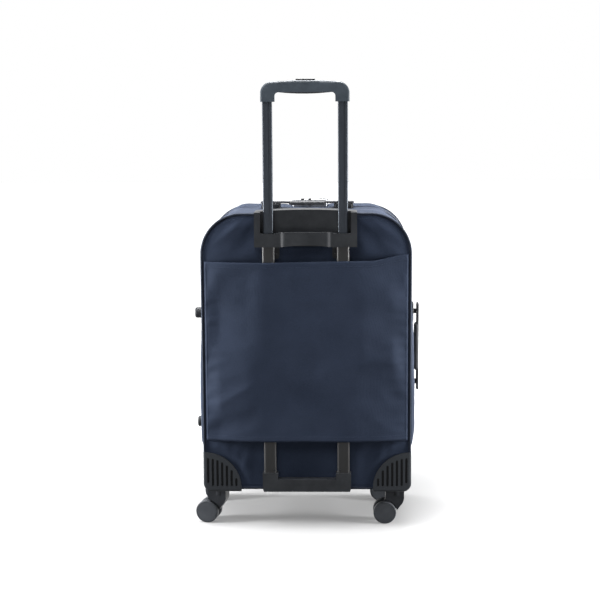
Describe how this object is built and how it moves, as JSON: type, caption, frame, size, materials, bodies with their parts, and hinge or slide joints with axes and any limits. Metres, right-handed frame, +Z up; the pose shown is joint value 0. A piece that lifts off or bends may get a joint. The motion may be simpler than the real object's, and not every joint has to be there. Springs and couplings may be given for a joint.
{
  "type": "soft-sided spinner suitcase",
  "caption": "Upright fabric suitcase on twin-wheel swivel casters, with a telescopic trolley handle, zipped front lid, carry handles and corner guards.",
  "frame": {"origin": "on the floor, at the middle of the bounding box", "axes": "+Z up; -Y towards the back that carries the trolley tubes, +Y towards the zipped front; +X to the right as seen from the back"},
  "size_m": [0.485, 0.312, 0.949],
  "materials": {
    "navy_fabric": "woven polyester, slight sheen",
    "stiffener_board": "plain sheet",
    "lining_cloth": "thin woven lining",
    "zip_tape": "coil zip on woven tape",
    "spring_steel": "drawn wire",
    "moulded_black": "fine moulded grain",
    "bright_steel": "zinc plated",
    "tube_black": "black anodised aluminium tube",
    "nylon": "self-coloured nylon",
    "webbing": "elastic webbing",
    "lock_silver": "satin silver",
    "grip_slate": "dark slate, satin",
    "grip_rubber": "soft-touch",
    "button_black": "smooth",
    "handle_black": "soft moulded strap",
    "pull_black": "moulded",
    "caster_grey": "satin moulded",
    "wheel_pu": "polyurethane tread on a moulded hub"
  },
  "bodies": {
    "shell": {"rear_panel": "navy_fabric", "back_board": "stiffener_board", "gusset_main": "navy_fabric", "zip_track": "zip_tape", "lining_main": "lining_cloth", "frame_wires": "spring_steel", "front_apron": "navy_fabric", "base_plate": "moulded_black", "guard_rear_left": "moulded_black", "guard_rear_right": "moulded_black", "guard_front_left": "moulded_black", "guard_front_right": "moulded_black", "caster_stems": "bright_steel", "handle_housing": "moulded_black", "base_bracket": "moulded_black", "trolley_screws": "bright_steel", "outer_tube_left": "tube_black", "outer_tube_right": "tube_black", "tube_bushes": "nylon", "cover_panel": "navy_fabric", "top_handle_mounts": "moulded_black", "side_handle_mounts": "moulded_black", "side_feet": "moulded_black", "packing_straps": "webbing", "strap_buckles": "moulded_black"},
    "lid": {"lid_gusset": "navy_fabric", "lid_panel": "navy_fabric", "lid_board": "lining_cloth", "pocket_upper": "navy_fabric", "pocket_lower": "navy_fabric", "lock_case": "lock_silver"},
    "trolley": {"inner_tube_left": "tube_black", "inner_tube_right": "tube_black", "slide_shoes": "nylon", "grip": "grip_slate", "grip_insert": "grip_rubber"},
    "release": {"release_button": "button_black", "push_rods": "bright_steel"},
    "locking": {"lock_pins": "bright_steel"},
    "top_carry": {"top_handle": "handle_black"},
    "side_carry": {"side_handle": "handle_black"},
    "lock_push": {"lock_button": "button_black"},
    "pull_left": {"zip_pull_left": "pull_black"},
    "pull_right": {"zip_pull_right": "pull_black"},
    "caster_rear_left": {"fork_rear_left": "caster_grey", "axle_rear_left": "bright_steel"},
    "roller_rear_left_a": {"wheel_rear_left_a": "wheel_pu"},
    "roller_rear_left_b": {"wheel_rear_left_b": "wheel_pu"},
    "caster_rear_right": {"fork_rear_right": "caster_grey", "axle_rear_right": "bright_steel"},
    "roller_rear_right_a": {"wheel_rear_right_a": "wheel_pu"},
    "roller_rear_right_b": {"wheel_rear_right_b": "wheel_pu"},
    "caster_front_left": {"fork_front_left": "caster_grey", "axle_front_left": "bright_steel"},
    "roller_front_left_a": {"wheel_front_left_a": "wheel_pu"},
    "roller_front_left_b": {"wheel_front_left_b": "wheel_pu"},
    "caster_front_right": {"fork_front_right": "caster_grey", "axle_front_right": "bright_steel"},
    "roller_front_right_a": {"wheel_front_right_a": "wheel_pu"},
    "roller_front_right_b": {"wheel_front_right_b": "wheel_pu"}
  },
  "joints": [
    {"name": "trolley_slide", "type": "slide", "parent": "shell", "child": "trolley", "axis": [0, 0, 1], "range_m": [-0.268, 0]},
    {"name": "release_press", "type": "slide", "parent": "trolley", "child": "release", "axis": [0, 0, 1], "range_m": [-0.004, 0], "stiffness_N_per_m": 900, "springref_m": 0.004},
    {"name": "pin_draw", "type": "slide", "parent": "trolley", "child": "locking", "axis": [0, 1, 0], "range_m": [-0.0025, 0]},
    {"name": "lid_hinge", "type": "hinge", "parent": "shell", "child": "lid", "pos_m": [0, 0.1345, 0.168], "axis": [-1, 0, 0], "range_deg": [0, 100]},
    {"name": "top_handle_lift", "type": "slide", "parent": "shell", "child": "top_carry", "axis": [0, 0, 1], "range_m": [0, 0.016], "stiffness_N_per_m": 250, "springref_m": -0.008},
    {"name": "side_handle_pull", "type": "slide", "parent": "shell", "child": "side_carry", "axis": [1, 0, 0], "range_m": [0, 0.016], "stiffness_N_per_m": 250, "springref_m": -0.008},
    {"name": "lock_press", "type": "slide", "parent": "lid", "child": "lock_push", "axis": [0, 0, 1], "range_m": [-0.002, 0], "stiffness_N_per_m": 600, "springref_m": 0.002},
    {"name": "pull_left_flip", "type": "hinge", "parent": "shell", "child": "pull_left", "pos_m": [-0.0115, 0.062, 0.6795], "axis": [1, 0, 0], "range_deg": [0, 100]},
    {"name": "pull_right_flip", "type": "hinge", "parent": "shell", "child": "pull_right", "pos_m": [0.0042, 0.062, 0.6795], "axis": [1, 0, 0], "range_deg": [0, 100]},
    {"name": "swivel_rear_left", "type": "hinge", "parent": "shell", "child": "caster_rear_left", "pos_m": [-0.18992, -0.083, 0.07], "axis": [0, 0, 1], "continuous": true},
    {"name": "roll_rear_left_a", "type": "hinge", "parent": "caster_rear_left", "child": "roller_rear_left_a", "pos_m": [-0.21505, -0.07812, 0.0245], "axis": [0.1908, 0.9816, 0], "continuous": true},
    {"name": "roll_rear_left_b", "type": "hinge", "parent": "caster_rear_left", "child": "roller_rear_left_b", "pos_m": [-0.21505, -0.07812, 0.0245], "axis": [0.1908, 0.9816, 0], "continuous": true},
    {"name": "swivel_rear_right", "type": "hinge", "parent": "shell", "child": "caster_rear_right", "pos_m": [0.192, -0.083, 0.07], "axis": [0, 0, 1], "continuous": true},
    {"name": "roll_rear_right_a", "type": "hinge", "parent": "caster_rear_right", "child": "roller_rear_right_a", "pos_m": [0.1664, -0.083, 0.0245], "axis": [0, 1, 0], "continuous": true},
    {"name": "roll_rear_right_b", "type": "hinge", "parent": "caster_rear_right", "child": "roller_rear_right_b", "pos_m": [0.1664, -0.083, 0.0245], "axis": [0, 1, 0], "continuous": true},
    {"name": "swivel_front_left", "type": "hinge", "parent": "shell", "child": "caster_front_left", "pos_m": [-0.1885, 0.089, 0.07], "axis": [0, 0, 1], "continuous": true},
    {"name": "roll_front_left_a", "type": "hinge", "parent": "caster_front_left", "child": "roller_front_left_a", "pos_m": [-0.2141, 0.089, 0.0245], "axis": [0, 1, 0], "continuous": true},
    {"name": "roll_front_left_b", "type": "hinge", "parent": "caster_front_left", "child": "roller_front_left_b", "pos_m": [-0.2141, 0.089, 0.0245], "axis": [0, 1, 0], "continuous": true},
    {"name": "swivel_front_right", "type": "hinge", "parent": "shell", "child": "caster_front_right", "pos_m": [0.1885, 0.089, 0.07], "axis": [0, 0, 1], "continuous": true},
    {"name": "roll_front_right_a", "type": "hinge", "parent": "caster_front_right", "child": "roller_front_right_a", "pos_m": [0.1629, 0.089, 0.0245], "axis": [0, 1, 0], "continuous": true},
    {"name": "roll_front_right_b", "type": "hinge", "parent": "caster_front_right", "child": "roller_front_right_b", "pos_m": [0.1629, 0.089, 0.0245], "axis": [0, 1, 0], "continuous": true}
  ],
  "couplings": [
    {"joint": "pin_draw", "follows": "release_press", "ratio": 0.625}
  ]
}
